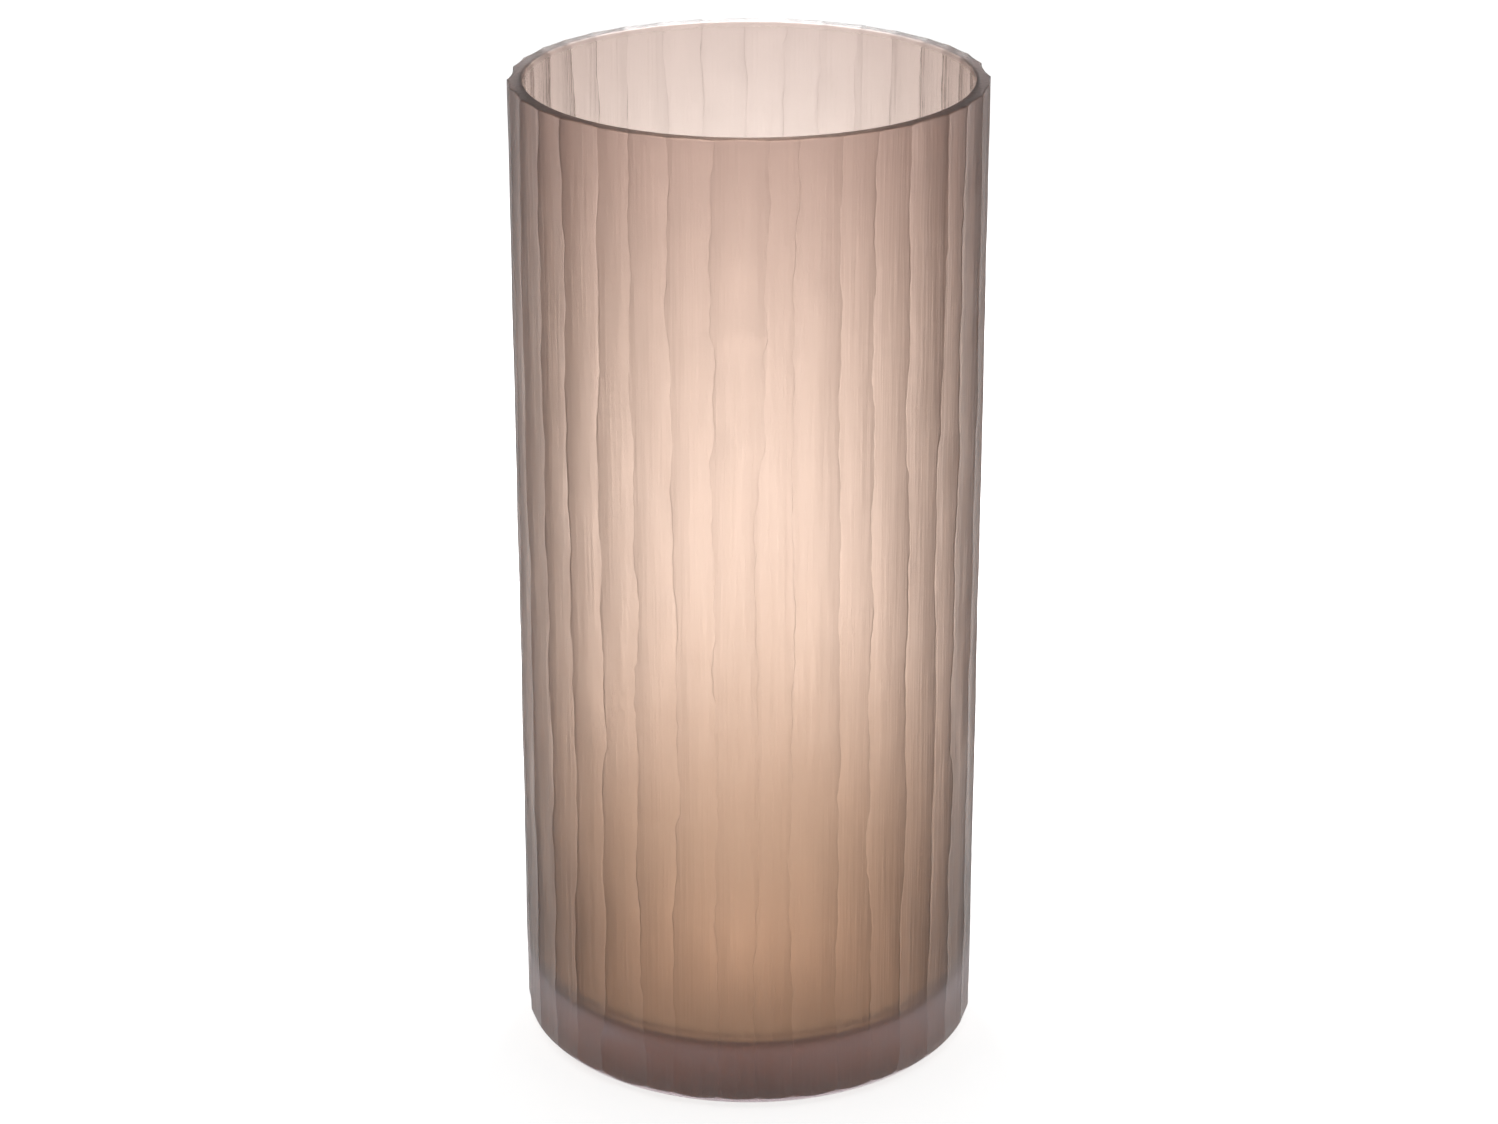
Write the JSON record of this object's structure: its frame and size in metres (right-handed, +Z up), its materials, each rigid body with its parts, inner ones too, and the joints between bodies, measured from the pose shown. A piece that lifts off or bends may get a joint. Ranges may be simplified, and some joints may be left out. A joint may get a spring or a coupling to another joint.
{
  "type": "glass cylinder vase",
  "caption": "Tall straight cylinder vase of cased glass with a taupe inner layer, a thick solid base and upright concave flutes cut round the satin outside.",
  "frame": {"origin": "centre of the flat foot, on the surface that the vase stands on", "axes": "+Z up along the vase's axis, out of its mouth; a ridge between two flutes lies 1.5 degrees from +X"},
  "size_m": [0.186, 0.186, 0.4],
  "materials": {
    "clear_glass": "satin ground outside, polished rim and foot",
    "taupe_glass": "smooth, fire polished"
  },
  "bodies": {
    "root": {"clear_casing": "clear_glass", "taupe_liner": "taupe_glass"}
  },
  "joints": []
}
